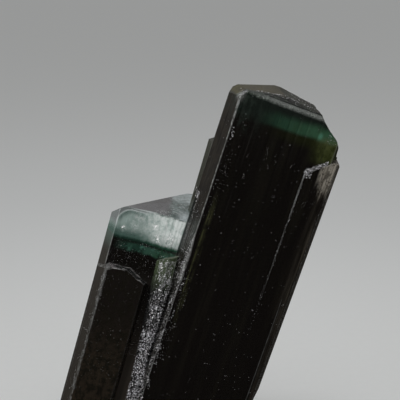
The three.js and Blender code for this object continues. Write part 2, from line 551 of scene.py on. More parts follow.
def dust_starts(rng, count):
    """Starts and directions of rays towards the group from all round."""
    aside, away = 14, 40
    for _ in range(count):
        turn = rng.uniform(0, 2 * math.pi)
        outward = Vector((math.cos(turn), math.sin(turn), 0))
        beside = Vector((-outward.y, outward.x, 0)) * rng.uniform(-aside, aside)
        middle = Vector((-4, 4, rng.uniform(FOOT_LEVEL + 1, 0.5)))
        yield middle + beside + outward * away, -outward


def grains_object(name, seeds, rng):
    """Small eight-sided grains, each squashed, turned and tinted by chance, half sunk in the surface."""
    shape = np.array([(1, 0, 0), (-1, 0, 0), (0, 1, 0), (0, -1, 0), (0, 0, 1), (0, 0, -1)], float)
    sides = np.array([(0, 2, 4), (2, 1, 4), (1, 3, 4), (3, 0, 4),
                      (2, 0, 5), (1, 2, 5), (3, 1, 5), (0, 3, 5)])
    uneven, squash, proud = (0.6, 1.25), (0.6, 1.2), 0.15
    verts, faces, tints = [], [], []
    for point, normal, radius, tint in seeds:
        turn = np.linalg.qr(rng.normal(size=(3, 3)))[0]
        if np.linalg.det(turn) < 0:
            turn[:, 0] *= -1
        body = shape * rng.uniform(*uneven, (len(shape), 1)) * rng.uniform(*squash, 3)
        faces.append(sides + len(shape) * len(verts))
        verts.append((body @ turn.T) * radius + point + normal * radius * proud)
        tints += [tint * rng.uniform(0.8, 1.1)] * len(sides)
    mesh = bpy.data.meshes.new(name)
    mesh.from_pydata(np.concatenate(verts).tolist(), [], np.concatenate(faces).tolist())
    face_attribute(mesh, "tint", tints)
    to_model(mesh)
    mesh.update()
    return placed(name, mesh)


def patch_grains(tree, rng, patches):
    """Grains of several patches. Clumped ones are brighter and darker by turns along the prism's length."""
    clump_wide, clump_tall, clump_seed = 0.28, 0.9, 9
    seeds = []
    for patch in patches:
        patch = dict(patch)
        sizes, tints, clumped = patch.pop("sizes"), patch.pop("tints"), patch.pop("clumped", False)
        starts, direction = cluster_starts(rng, **patch)
        for point, normal in ray_hits(tree, starts, direction):
            radius = rng.uniform(*sizes) * rng.uniform(0.6, 1.0)
            bright = tints[0] + (tints[1] - tints[0]) * rng.uniform() ** 3
            if clumped:
                along = point[0] - point[2] * math.tan(math.radians(patch["lean"]))
                clump = value_noise(along / clump_wide, point[2] / clump_tall, clump_seed)
                bright *= 0.4 + 2.2 * max(0.0, clump + 0.35)
            seeds.append((point, normal, radius, bright))
    return seeds


def etched_grains(tree):
    """The sugary grains in the groove between the two big prisms, and on the tall prism's edge."""
    rng = np.random.default_rng(301)
    groove = dict(lean=ETCHED_LEAN, clumped=True, streak=(0.15, 0.6, 0.35), sizes=SMALL)
    edge = dict(groove, lean=MAIN_LEAN)
    crumbs = dict(lean=ETCHED_LEAN, clumped=True, sizes=(0.04, 0.1), tints=(0.8, 6.0))
    patches = [
        dict(groove, across=(-4.3, -2.5), up=(-24, -20.9), count=1600, tints=(0.08, 3.2)),
        dict(groove, across=(-4.1, -2.5), up=(-27, -23), count=1400, tints=(0.03, 2.0)),
        dict(groove, across=(-4.15, -2.6), up=(-31, -26.5), count=1300, tints=(0.02, 1.8)),
        dict(groove, across=(-4.35, -2.85), up=(FOOT_LEVEL, -29.6), count=3400, sizes=(0.022, 0.05),
             tints=(0.03, 2.4)),
        dict(crumbs, across=(-4.0, -2.6), up=(-26, -20.9), count=110),
        dict(crumbs, across=(-4.0, -2.7), up=(-30.5, -25), count=100),
        dict(crumbs, across=(-4.3, -2.95), up=(FOOT_LEVEL, -29.8), count=520),
        dict(edge, across=(-0.38, 0.02), up=(-40, -22), count=1000, sizes=(0.025, 0.06), tints=(0.05, 1.8)),
        dict(edge, across=(-1.0, -0.66), up=(-40, -23), count=900, sizes=(0.02, 0.05), tints=(0.05, 3.2)),
        dict(edge, across=(-0.9, -0.5), up=(-24, -17), count=260, sizes=(0.025, 0.05), tints=(0.02, 0.7)),
        dict(edge, across=(-0.45, 0.02), up=(-23, -17), count=420, sizes=(0.025, 0.06), tints=(0.02, 1.4)),
        dict(edge, across=(-0.3, 0.06), up=(-40, -21), count=300, sizes=MIDDLING, tints=(0.1, 2.5)),
        dict(lean=MAIN_LEAN, across=(0.05, 0.45), up=(-38, -22.5), count=150, sizes=MIDDLING,
             tints=(0.2, 2.2), bunches=16),
    ]
    return grains_object("etched_grains", patch_grains(tree, rng, patches), rng)


def white_dust(tree):
    """Loose white specks: thin all over, thicker in a few places, and crumbs on the broken edges."""
    rng = np.random.default_rng(302)
    main, side = dict(lean=MAIN_LEAN, sizes=SMALL), dict(lean=SIDE_LEAN, sizes=SMALL)
    front_specks = dict(main, sizes=(0.02, 0.035))
    summit_crumbs = dict(main, sizes=(0.025, 0.06))
    patches = [
        dict(main, across=(0.2, 0.55), up=(-5.6, -3.4), count=14, sizes=(0.04, 0.07), tints=(0.8, 3.0),
             bunches=5),
        dict(main, across=(0.1, 1.6), up=(-7, -2.2), count=24, tints=(0.2, 1.6)),
        dict(front_specks, across=(1.5, 8.0), up=(-8.5, -4.5), count=45, tints=(0.2, 2.4), bunches=9),
        dict(front_specks, across=(0.5, 9.0), up=(-36, -9), count=60, tints=(0.2, 1.6), bunches=20),
        dict(front_specks, across=(0.0, 1.4), up=(-15, -7), count=80, tints=(0.1, 1.2)),
        dict(main, across=(0.0, 1.3), up=(-33, -21), count=130, tints=(0.1, 1.4)),
        dict(main, across=(9.2, 11.4), up=(-6.75, -6.2), slope=0.75, count=240, sizes=MIDDLING,
             tints=(0.05, 2.4)),
        dict(main, across=(9.25, 10.0), up=(-7.1, -6.1), count=80, sizes=(0.035, 0.08), tints=(0.1, 3.0)),
        dict(main, across=(9.2, 9.45), up=(-18, -6), count=170, tints=(0.1, 1.2)),
        dict(main, across=(9.15, 9.4), up=(-26, -18), count=60, tints=(0.1, 1.0)),
        dict(main, across=(9.4, 11.4), up=(-12, -6.5), count=40, tints=(0.1, 0.5)),
        dict(summit_crumbs, across=(1.5, 6.3), back=(0.75, 1.35), count=120, tints=(0.1, 2.4)),
        dict(summit_crumbs, across=(5.5, 10.5), back=(1.3, 5.5), count=110, tints=(0.05, 1.6)),
        dict(main, across=(-0.3, 0.5), back=(-0.1, 0.6), count=130, sizes=MIDDLING, tints=(0.1, 0.7)),
        dict(main, across=(10.4, 12), up=(-2.8, -0.6), count=130, sizes=(0.02, 0.05), tints=(0.05, 1.4)),
        dict(main, across=(-1.25, -0.85), up=(-13.3, -12.4), count=55, sizes=(0.03, 0.08),
             tints=(0.1, 2.8)),
        dict(main, across=(-0.95, -0.78), up=(-19.5, -13.2), count=90, tints=(0.05, 2.8)),
        dict(main, across=(-1.2, -0.2), up=(-18, -12), count=110, tints=(0.05, 1.6),
             streak=(0.3, 0.8, 0.3)),
        dict(main, across=(0.2, 12), up=(-38, -2), count=90, sizes=(0.025, 0.05), tints=(0.2, 1.4)),
        dict(side, across=(-9.3, -2.2), up=(-24, -20.2), count=900, sizes=(0.012, 0.035), tints=(0.03, 1.6),
             streak=(0.8, 0.8, 0.3)),
        dict(side, across=(-9.3, -8.75), up=(-28, -24.6), count=90, sizes=(0.02, 0.05), tints=(0.05, 1.8)),
        dict(side, across=(-9.5, -8.9), up=(-40, -26), count=130, sizes=(0.02, 0.05), tints=(0.05, 1.8),
             bunches=34),
        dict(side, across=(-9.2, -4), up=(-38, -24.5), count=150, tints=(0.05, 0.5)),
        dict(side, across=(-4, -2.9), up=(-34, -25), count=110, tints=(0.1, 0.7)),
    ]
    seeds = patch_grains(tree, rng, patches)
    for start, direction in dust_starts(rng, 1000):
        for point, normal in ray_hits(tree, [start], direction):
            seeds.append((point, normal, rng.uniform(*SMALL), rng.uniform(0.05, 0.7)))
    return grains_object("white_dust", seeds, rng)


# -------- shader building


class Value:
    """A number that nodes work out at each place, or a mask from 0 to 1. Masks are joined by a product."""

    def __init__(self, nodes, socket):
        self.nodes, self.socket = nodes, socket

    def __add__(self, other):
        return self.nodes.math("ADD", self, other)

    def __sub__(self, other):
        return self.nodes.math("SUBTRACT", self, other)

    def __rsub__(self, other):
        return self.nodes.math("SUBTRACT", other, self)

    def __mul__(self, other):
        return self.nodes.math("MULTIPLY", self, other)

    def __truediv__(self, other):
        return self.nodes.math("DIVIDE", self, other)

    def __invert__(self):
        """The rest of a mask."""
        return self.nodes.math("SUBTRACT", 1.0, self, clamp=True)

    def __call__(self, *levels):
        """A mask, 0 at the first level and 1 at the second; with four, 1 to the third and 0 at the last."""
        if len(levels) == 4:
            low, full_low, full_high, high = levels
            return self(low, full_low) * self(high, full_high)
        start, end = levels
        edges = {"From Min": min(levels), "From Max": max(levels)}
        ends = {"To Min": float(start > end), "To Max": float(start < end)}
        inputs = {"Value": self, **edges, **ends}
        return self.nodes.new("MapRange", inputs, "Result", interpolation_type="SMOOTHSTEP")


class Nodes:
    """Short ways of adding shader nodes to one material."""

    def __init__(self, name):
        self.material = bpy.data.materials.new(name)
        self.material.use_nodes = True
        self.tree = self.material.node_tree
        self.shader = self.tree.nodes["Principled BSDF"]
        self.output = self.tree.nodes["Material Output"]

    def put(self, socket, value):
        """Links a socket to a value or an output, or sets it to a plain number or colour."""
        value = value.socket if isinstance(value, Value) else value
        if isinstance(value, bpy.types.NodeSocket):
            self.tree.links.new(value, socket)
        else:
            socket.default_value = value

    def new(self, kind, inputs, output=None, **settings):
        """A node of a kind, set up and with its inputs put in. Gives the node, or one output as a value."""
        node = self.tree.nodes.new("ShaderNode" + kind)
        for name, setting in settings.items():
            setattr(node, name, setting)
        for name, value in inputs.items():
            self.put(node.inputs[name], value)
        return node if output is None else Value(self, node.outputs[output])

    def math(self, operation, *values, clamp=False):
        return self.new("Math", dict(enumerate(values)), "Value", operation=operation, use_clamp=clamp)

    def any_of(self, first, *others):
        """Largest of masks."""
        for other in others:
            first = self.math("MAXIMUM", first, other)
        return first

    def length(self, x, y):
        return self.math("SQRT", x * x + y * y)

    def mix(self, factor, a, b):
        """Colour b over colour a."""
        under, over = (c if isinstance(c, bpy.types.NodeSocket) else (*c, 1) for c in (a, b))
        node = self.new("Mix", {"Factor": factor, "A": under, "B": over}, data_type="RGBA")
        return next(o for o in node.outputs if o.type == "RGBA")

    def paint(self, colour, *coats):
        """Coats laid over a colour one after the other, each a mask and its own colour."""
        for mask, coat in coats:
            colour = self.mix(mask, colour, coat)
        return colour

    def blend(self, factor, a, b):
        """Number b over number a."""
        return self.new("Mix", {"Factor": factor, "A": a, "B": b}, "Result", data_type="FLOAT")

    def attribute(self, name, output="Fac"):
        return self.new("Attribute", {}, output, attribute_name=name)

    def axes(self, vector):
        return [Value(self, output) for output in self.new("SeparateXYZ", {0: vector}).outputs]

    def noise(self, vector, scale, detail=3.0, roughness=0.6):
        """Noise with its own number of features per unit along each axis."""
        stretched = self.new("VectorMath", {0: vector, 1: scale}, "Vector", operation="MULTIPLY")
        inputs = {"Vector": stretched, "Scale": 1.0, "Detail": detail, "Roughness": roughness}
        return self.new("TexNoise", inputs, "Fac")

    def bump(self, height, distance, strength=1.0, normal=None):
        inputs = {"Distance": distance, "Strength": strength, "Height": height}
        if normal is not None:
            inputs["Normal"] = normal
        return self.new("Bump", inputs, "Normal")


# -------- tourmaline


class CrystalNodes(Nodes):
    """Shader nodes with crystal coordinates in millimetres and the crystal's shared patterns at hand."""

    def __init__(self, name):
        super().__init__(name)
        self.place = self.attribute("crystal", "Vector")
        self.member = self.attribute("member")
        self.worn, self.broken = self.attribute("worn"), self.attribute("broken")
        self.across, self.back, self.up = self.axes(self.place)
        self.level = self.up + (self.noise(self.place, (0.5, 0.5, 0.12), detail=2) - 0.5) * 0.6
        self.fine_streak = self.noise(self.place, (5.0, 5.0, 0.12), detail=4, roughness=0.7)
        self.broad_streak = self.noise(self.place, (1.1, 1.1, 0.06), detail=3)
        self.blotch = self.noise(self.place, (1.3, 1.3, 0.8), detail=4)
        self.grit = self.noise(self.place, (7, 7, 5), detail=3, roughness=0.7)
        self.patchy = self.noise(self.place, (1.6, 1.6, 1.1), detail=5, roughness=0.75)(0.38, 0.62)

    def of(self, which):
        """A mask of one prism."""
        return self.math("COMPARE", self.member, float(which), 0.5)

    def ridges(self, scale, width):
        """Thin wandering lines, like the traces of healed cracks."""
        from_middle = self.math("ABSOLUTE", self.noise(self.place, scale, detail=2) - 0.5)
        return from_middle(width, 0.0)

    def spot(self, across, up, wide, tall, core):
        """An oval in the front plane, 1 within its core and 0 at its rim."""
        return self.length((self.across - across) / wide, (self.up - up) / tall)(1.0, core)


def body_colour(n):
    """Near black, brown and olive where it thins."""
    dark = n.mix(n.broad_streak(0.45, 0.75), (0.0044, 0.0035, 0.003), (0.0072, 0.0062, 0.0046))
    return n.mix(n.fine_streak(0.58, 0.8), dark, (0.009, 0.0078, 0.006))


def tall_band(n):
    """The teal of the band, deeper on the left, with finer and darker patches."""
    teal = n.mix(n.across(3.5, 10.5), (0.010, 0.027, 0.017), (0.027, 0.070, 0.038))
    streaks = n.fine_streak(0.45, 0.7) * 0.3
    clouds = n.blotch(0.48, 0.6) * 0.6
    return n.paint(teal, (streaks, (0.036, 0.085, 0.052)), (clouds, (0.018, 0.042, 0.022)))


def tall_summit(n, body):
    """An olive facet on the left, and a dark pitted one that also runs along the front, with painted shade
    in its pits and painted glints on its ridges.
    """
    olive = n.mix(n.across(5.2, 4.2), (0.014, 0.015, 0.013), (0.036, 0.032, 0.009))
    olive = n.mix(n.blotch(0.42, 0.6) * 0.5, olive, body)
    scales = n.noise(n.place, (2.4, 0.9, 2.4), detail=3, roughness=0.75)
    # painted shade and highlight: black mottling for shade in the pits, pale flecks for light caught on the
    # ridges
    pitted = n.mix(scales(0.46, 0.54), (0.0, 0.0, 0.0), (0.014, 0.022, 0.014))
    pitted = n.mix(scales(0.56, 0.62), pitted, (0.075, 0.09, 0.072))
    return n.mix(n.any_of(n.broken, n.back(0.95, 0.8)), olive, pitted)


def tall_colour(n, body):
    """Green-black under the summit, a teal band with a painted highlight in it and an olive glow under it,
    and an olive streak below.
    """
    under_summit = n.level(-3.4, -1.8)
    dusty = n.across(4.5, 0.3) * n.level(-5.5, -1.5) * n.blotch(0.42, 0.62)
    glow = n.level(-4.4, -3.2, -2.9, -2.4) * n.across(2.5, 9.0)
    band = n.level(-3.05, -2.45, -1.9, -0.85) * n.across(2.0, 5.5)
    # painted highlight: a bright teal spot in the band stands in for light caught there
    band_highlight = n.spot(9.6, -2.3, 0.4, 0.6, core=0.0)
    yellow_end = n.spot(11.0, -2.9, 1.9, 1.1, core=0.2) * n.blend(n.patchy, 0.5, 1.0)
    chip = n.across(8.6, 11.0) * n.level(-5.8, -4.2, -3.0, -2.4)
    chip_olive = n.mix(n.blotch(0.4, 0.6), (0.022, 0.027, 0.007), (0.042, 0.05, 0.016))
    olive_streak = n.across(0.5, 0.75, 0.95, 1.35) * n.up(-30, -22, -15, -11)
    olive_streak = olive_streak * n.fine_streak(0.35, 0.6) * n.blotch(0.35, 0.55)
    side = n.across(-0.05, -0.2)
    rubbed_side = side * n.up(-11, -17) * n.grit(0.42, 0.62) * n.patchy
    seam = n.across(-0.92, -1.04) * n.up(-20.8, -20.0) * n.up(-12.8, -14.0)
    # painted shade: black on the tall prism where it meets the etched prism, for the shade in that gap
    groove = n.across(-0.68, -0.6, -0.44, -0.36) * n.up(-21, -25)
    summit = n.back(0.35, 0.5) * n.up(-1.0, -0.5)
    return n.paint(
        body,
        (under_summit, (0.007, 0.010, 0.008)),
        (dusty, (0.015, 0.021, 0.017)),
        (glow, (0.009, 0.0105, 0.0035)),
        (band, tall_band(n)),
        (band_highlight, (0.055, 0.15, 0.10)),
        (yellow_end, (0.062, 0.078, 0.035)),
        (chip, chip_olive),
        (olive_streak, (0.03, 0.031, 0.014)),
        (side * n.blotch(0.4, 0.6), (0.010, 0.008, 0.006)),
        (rubbed_side, (0.03, 0.031, 0.027)),
        (seam, (0.001, 0.004, 0.003)),
        (groove, (0.0, 0.0, 0.0)),
        (summit, tall_summit(n, body)),
    )


def cap_glints(n):
    """Bright flecks where small cracks in the milky cap catch the light."""
    flecks = (
        (-8.4, -19.05, 0.5, 0.5),
        (-7.1, -18.4, 0.22, 0.2),
        (-4.85, -17.95, 0.7, 0.65),
        (-4.3, -19.2, 0.9, 1.0),
        (-2.9, -18.9, 0.9, 1.3),
    )
    spots = [n.spot(*fleck, core=0.2) for fleck in flecks]
    broken_up = n.noise(n.place, (3.2, 3.2, 3.2), detail=4, roughness=0.8)(0.49, 0.57)
    return n.any_of(*spots) * broken_up * n.back(2.7, 2.4)


def roof_colour(n):
    """The cap's glassy top: lilac grey on the left, green grey on the right with pale veils that are partly
    painted inner reflections.
    """
    lilac = n.mix(n.across(-9, -4), (0.27, 0.27, 0.28), (0.075, 0.068, 0.076))
    lilac = n.mix(n.blotch(0.42, 0.58) * 0.5, lilac, (0.15, 0.145, 0.155))
    near_corner = n.back(4.5, 2.9) * n.across(-3.2, -2.2)
    # pale veils, partly painted inner reflections where the glassy top catches light
    veil_and_reflection = n.any_of(near_corner, n.back(5.5, 7.0)) * n.blend(n.patchy, 0.4, 1.0)
    healed_cracks = n.ridges((0.8, 1.6, 0.8), 0.02) * 0.6
    green = n.mix(n.blotch(0.4, 0.6), (0.035, 0.055, 0.05), (0.13, 0.17, 0.165))
    green = n.paint(green, (veil_and_reflection, (0.4, 0.45, 0.46)), (healed_cracks, (0.5, 0.55, 0.56)))
    split = n.across + (n.grit - 0.5) * 1.6
    crack = split(-4.3, -3.9, -3.7, -3.4) * n.back(5.5, 2.6) * 0.8
    crushed = n.across(-5.6, -5.0, -3.9, -3.3) * n.back(3.6, 2.6)
    return n.paint(
        lilac,
        (split(-4.1, -3.4), green),
        (crack, (0.03, 0.036, 0.036)),
        (crushed * n.grit(0.54, 0.62), (0.6, 0.64, 0.63)),
    )


def milk_colour(n):
    """The cap's milky inside: brighter to the right, flaky on the left, green at its foot."""
    milk = n.mix(n.across(-8.0, -2.4), (0.49, 0.61, 0.57), (0.95, 1.0, 0.98))
    streaked = n.fine_streak(0.46, 0.62) * n.across(-8, -3) * n.blend(n.grit, 0.2, 1.0)
    flaky = n.noise(n.place, (2.6, 2.6, 2.0), detail=5, roughness=0.85)
    flaked = n.across(-8.8, -6.5)
    foot = n.level(-18.4, -19.8) * n.blend(n.across(-6.5, -3.5), 0.9, 0.4)
    return n.paint(
        milk,
        (n.blotch(0.42, 0.62) * 0.45, (0.29, 0.39, 0.36)),
        (streaked, (0.42, 0.55, 0.5)),
        (flaky(0.52, 0.58) * flaked * 0.6, (0.98, 1.0, 0.99)),
        (flaky(0.47, 0.41) * flaked * 0.5, (0.26, 0.37, 0.33)),
        (n.spot(-6.0, -18.3, 1.3, 1.2, core=0.3) * 0.45, (0.36, 0.45, 0.42)),
        (foot, (0.07, 0.15, 0.12)),
    )


def cap_colour(n, glints):
    """The milky cap of the lower left prism: a bright pillow with a round corner, with a painted shadow
    just inside its rim and a painted highlight line along it, inside a paler rim.
    """
    round_left, round_level = -7.7, -18.3  # the pillow's corner is round about this place
    beyond = n.math("MAXIMUM", round_left - n.across, 0.0)
    rim = n.length(beyond, n.up - round_level)
    # painted shadow: a darker teal band just inside the rounded rim
    shade = rim(0.9, 1.35, 1.4, 1.55) * n.across(-5.5, -8.5) * n.up(-18.8, -17.8) * 0.7
    upper = n.up(-19.3, -18.2) * n.across(-5.0, -7.5)
    # painted highlight: a thin bright line along the rounded rim
    line = rim(1.5, 1.56, 1.62, 1.7) * n.blend(n.patchy, 0.3, 1.0) * upper
    chamfer = n.worn * n.up(-17.5, -17.1) * n.back(2.12, 2.22)
    chamfer_grey = n.mix(n.across(-6.2, -4.6), (0.5, 0.54, 0.54), (0.035, 0.06, 0.052))
    roof = n.back(2.34, 2.42) * n.up(-17.6, -16.9) * 0.95
    return n.paint(
        milk_colour(n),
        (shade, (0.1, 0.16, 0.14)),
        (rim(1.55, 1.66) * upper, (0.31, 0.34, 0.34)),
        (line, (0.8, 0.85, 0.85)),
        (glints, (1.0, 1.0, 1.0)),
        (chamfer * n.blend(n.patchy, 0.45, 0.95), chamfer_grey),
        (roof, roof_colour(n)),
    )


def low_colour(n, body, clear_end, glints):
    """Black body with a brown left side, a deep green band with a painted shadow line above it, and the
    pale cap above.
    """
    band_left = n.across(-5.0, -3.5) * n.grit(0.3, 0.7)
    sparks = n.noise(n.place, (2.2, 2.2, 2.2), detail=3)(0.53, 0.64)
    green = n.mix(n.blotch(0.4, 0.6), (0.011, 0.03, 0.021), (0.025, 0.062, 0.044))
    green = n.paint(green, (band_left, (0.018, 0.055, 0.028)), (sparks, (0.04, 0.10, 0.075)))
    ragged = n.level + (n.blotch - 0.5) * 0.7
    band = ragged(-21.7, -21.2, -20.8, -20.3) * n.across(-9.2, -6.8)
    # painted shadow: a darker green line just under the cap, between the cap and the band
    deep = n.level(-20.5, -20.1) * n.across(-9.5, -9.1)
    deep_green = n.mix(n.across(-6.5, -3.5), (0.010, 0.027, 0.019), (0.015, 0.05, 0.031))
    brown = n.mix(n.up(-25, -37), (0.011, 0.0095, 0.008), (0.03, 0.025, 0.02))
    left_side = n.across(-9.15, -9.4)
    return n.paint(
        body,
        (band, green),
        (deep, deep_green),
        (n.level(-23, -25), brown),
        (left_side * 0.8, (0.034, 0.031, 0.027)),
        (left_side * n.level(-22.5, -20.0), (0.06, 0.08, 0.07)),
        (clear_end, cap_colour(n, glints)),
    )


def plate_colour(n, body):
    """Brown and earthy low down and on the left side, with a dark grey top between two thin pale edges."""
    earthy = n.mix(n.up(-27, -37), (0.009, 0.0072, 0.006), (0.021, 0.0155, 0.0105))
    earthy = n.mix(n.patchy(0.2, 0.9), earthy, (0.008, 0.0068, 0.0045))
    left_side = n.across(-9.0, -9.3) * 0.8
    edges = n.any_of(n.back(1.5, 1.32), n.back(1.92, 2.1)) * n.blend(n.grit(0.4, 0.56), 0.25, 1.0)
    left_end = n.across(-7.9, -8.8) * n.grit(0.35, 0.6)
    top = n.paint((0.004, 0.004, 0.004), (edges, (0.17, 0.165, 0.165)), (left_end, (0.2, 0.18, 0.185)))
    return n.paint(
        body,
        (n.blend(n.blotch, 0.5, 1.0), earthy),
        (left_side, (0.03, 0.027, 0.023)),
        (n.broken, top),
    )


def sidecar_colour(n, body, tip):
    """Brown streaks towards the right, and a translucent brownish tip."""
    streaked = n.across(10.8, 12.4) * n.fine_streak(0.35, 0.7)
    pale = n.mix(n.fine_streak(0.4, 0.6), (0.15, 0.135, 0.11), (0.36, 0.33, 0.28))
    pale = n.mix(n.patchy(0.3, 0.8) * 0.8, pale, (0.055, 0.048, 0.038))
    return n.paint(
        body,
        (streaked, (0.03, 0.026, 0.02)),
        (n.across(12.3, 12.5), (0.05, 0.045, 0.038)),
        (tip, pale),
    )


def etched_colour(n):
    """Greenish at the top, grey-black below, with paler lines along both sides."""
    colour = n.mix(n.up(-26, -21.5), (0.010, 0.010, 0.010), (0.045, 0.06, 0.032))
    return n.mix(n.worn * n.patchy * 0.6, colour, (0.2, 0.21, 0.19))


def rubbed_lines(n, bevel):
    """Whitish lines where the sharpest edges are rubbed, broken up along their length."""
    near_top, near_groove = n.up(-5.5, -1.5), n.up(-24.5, -22.5, -19.5, -16)
    reach = n.any_of(n.blend(near_top, 0.055, 0.2), n.blend(near_groove, 0.055, 0.32))
    from_edge = n.math("ABSOLUTE", n.across + 0.02)
    left_edge = (from_edge / reach)(1.0, 0.2) * n.back(1.2, 0.7)
    left_edge = left_edge * n.up(-26, -22) * n.blend(n.patchy, 0.08, 0.55)
    bevel_edge = bevel * n.back(0.6, 0.1) * n.across(0.5, 5.0) * 0.2
    top_left = n.across(0.7, -0.1) * n.back(1.2, 0.4) * n.up(-1.6, -0.4)
    side_edge = n.across(9.15, 9.23, 9.28, 9.38) * n.up(-16, -8) * n.fine_streak(0.4, 0.55) * n.patchy
    plate_edge = n.across(-8.8, -8.95) * n.across(-9.3, -9.1) * n.back(1.8, 1.4)
    plate_edge = plate_edge * n.blend(n.up(-26.5, -24.5), n.patchy, 1.0)
    lines = n.any_of(
        bevel_edge,
        n.of(TALL) * left_edge,
        n.of(TALL) * top_left * 0.35,
        n.of(SIDECAR) * side_edge * 0.55,
        n.of(PLATE) * plate_edge * 0.25,
    )
    return lines * n.grit(0.3, 0.62)


def frosting(n, rubbed):
    """Where the surface is matt and whitish: rubbed lines, worn edges and crushed broken faces."""
    frayed = n.noise(n.place, (2.5, 2.5, 1.0), detail=4)(0.3, 0.6)
    dull = n.any_of(
        n.of(SIDECAR) * n.any_of(n.across(11.0, 11.8), n.up(-9, -13)),
        n.of(PLATE) * n.across(-7, -5),
        n.of(LOW) * n.up(-17.4, -16.8),
    )
    strength = n.blend(dull, n.blend(n.of(TALL), 0.25, 0.1), 0.02)
    edges = n.worn * frayed * n.blend(n.patchy, 0.5, 1.0) * strength
    speckled = n.of(PLATE) * n.noise(n.place, (12, 12, 9), detail=1)(0.62, 0.7) * 0.2
    crushed = n.blend(n.any_of(n.of(TALL), n.of(PLATE)), 0.25, 0.0) * n.grit(0.42, 0.7)
    return n.any_of(rubbed, edges, n.broken * n.any_of(speckled, crushed))


def crystal_colour(n, glints, clear_end, side_tip, bevel, brushed):
    """Each prism's own colours, and a brushed grey ribbon on the bevel under the tall summit."""
    body = body_colour(n)
    ribbon = bevel * (n.back + (brushed - 0.5) * 0.6)(0.5, 0.3)
    return n.paint(
        body,
        (n.of(TALL), tall_colour(n, body)),
        (n.of(LOW), low_colour(n, body, clear_end, glints)),
        (n.of(PLATE), plate_colour(n, body)),
        (n.of(ETCHED), etched_colour(n)),
        (n.of(BLADE), n.mix(0.5, body, (0.1, 0.11, 0.08))),
        (n.of(SIDECAR), sidecar_colour(n, body, side_tip)),
        (ribbon * brushed(0.38, 0.5), (0.02, 0.029, 0.022)),
        (ribbon * brushed(0.5, 0.62), (0.085, 0.10, 0.088)),
        (bevel * brushed(0.6, 0.68), (0.12, 0.14, 0.12)),
    )


def crystal_roughness(n, frost):
    """Glossy striated faces, duller broken ones, and matt stretches along the worn edges."""
    glossy_break = n.any_of(n.of(TALL), n.of(PLATE))
    gloss = n.blend(n.fine_streak(0.4, 0.75), 0.06, 0.2)
    gloss = n.blend(n.broken * n.blend(glossy_break, 0.8, 0.1), gloss, 0.6)
    stretches = n.noise(n.place, (2.2, 2.2, 0.9), detail=4, roughness=0.7)(0.42, 0.56)
    chafed = n.worn * n.blend(n.any_of(n.of(SIDECAR), n.of(PLATE)), 1.0, stretches)
    chafed = chafed * ~(n.of(PLATE) * n.across(-6.5, -5))
    return n.blend(n.any_of(frost, chafed), gloss, 0.85)


def crystal_relief(n, bevel, brushed):
    """Fine relief, each layer as a height, its depth in millimetres and its strength."""
    rough_side = n.of(TALL) * n.across(-0.05, -0.2) * n.up(-9, -15)
    pits = n.noise(n.place, (2.8, 1.1, 2.8), detail=4, roughness=0.8)
    rough_summit = n.of(TALL) * n.up(-1.0, -0.7) * n.back(0.35, 0.5) * n.across(1.5, 5)
    nicks = n.noise(n.place, (4.0, 4.0, 1.6), detail=3, roughness=0.7)
    layers = (
        (n.fine_streak, 0.02, 0.6),
        (rough_side * n.grit, 0.03, 1.0),
        (bevel * brushed, 0.2, 1.0),
        (rough_summit * pits, 0.8, 1.0),
        (n.worn * nicks * n.any_of(n.of(SIDECAR), n.of(PLATE)), 0.6, 1.0),
        (n.grit, 0.01, 0.5),
        (n.broken * n.grit * n.blend(n.of(TALL), 1.0, 0.04), 0.12, 1.0),
    )
    normal = None
    for height, depth, strength in layers:
        normal = n.bump(height, depth * MM, strength, normal)
    return normal


def tourmaline_material():
    n = CrystalNodes("tourmaline")
    clear_end = (n.level + (n.grit - 0.5) * 0.5)(*CAP_FOOT)
    glints = cap_glints(n)
    frayed_up = n.up + (n.broad_streak - 0.5) * 7.0
    side_tip = n.across(10.6, 11.2) * frayed_up(-9.2, -6.8)
    rim_level = n.up + n.across * 0.05
    bevel = n.of(TALL) * rim_level(-0.35, -0.1) * n.back(0.95, 0.75)
    brushed = n.noise(n.place, (3.0, 1.5, 1.5), detail=4, roughness=0.75)
    frost = frosting(n, rubbed_lines(n, bevel))
    colour = crystal_colour(n, glints, clear_end, side_tip, bevel, brushed)
    n.put(n.shader.inputs["Base Color"], n.mix(frost, colour, FROST_COLOUR))

    milky = n.any_of(n.blend(n.across(-8.0, -3.8), 0.45, 0.72), glints)
    clear = n.any_of(n.of(LOW) * (clear_end * ~milky), n.of(SIDECAR) * side_tip * 0.4, n.of(BLADE) * 0.6)
    n.put(n.shader.inputs["Transmission Weight"], clear * ~frost)
    n.put(n.shader.inputs["Roughness"], crystal_roughness(n, frost))
    n.put(n.shader.inputs["Normal"], crystal_relief(n, bevel, brushed))
    n.shader.inputs["IOR"].default_value = TOURMALINE_IOR

    absorb = n.new("VolumeAbsorption", {})
    absorb.inputs["Color"].default_value = ABSORPTION_COLOUR
    absorb.inputs["Density"].default_value = ABSORPTION_DENSITY
    n.put(n.output.inputs["Volume"], absorb.outputs["Volume"])
    return n.material


def grain_material():
    """Frosty white grains with a faint lilac cast, each of its own brightness."""
    n = Nodes("white_grain")
    coords = n.new("TexCoord", {}, "Object")
    mottle = n.noise(coords, (9000, 9000, 9000), detail=2)
    shade = n.math("MULTIPLY", n.attribute("tint"), n.blend(mottle, 0.7, 1.2), clamp=True)
    n.put(n.shader.inputs["Base Color"], n.mix(shade, (0.05, 0.05, 0.05), (0.86, 0.85, 0.9)))
    n.put(n.shader.inputs["Roughness"], n.blend(mottle, 0.2, 0.5))
    n.put(n.shader.inputs["Normal"], n.bump(mottle, 0.005 * MM, 0.5))
    n.shader.inputs["IOR"].default_value = TOURMALINE_IOR
    return n.material


# -------- stage, light and camera

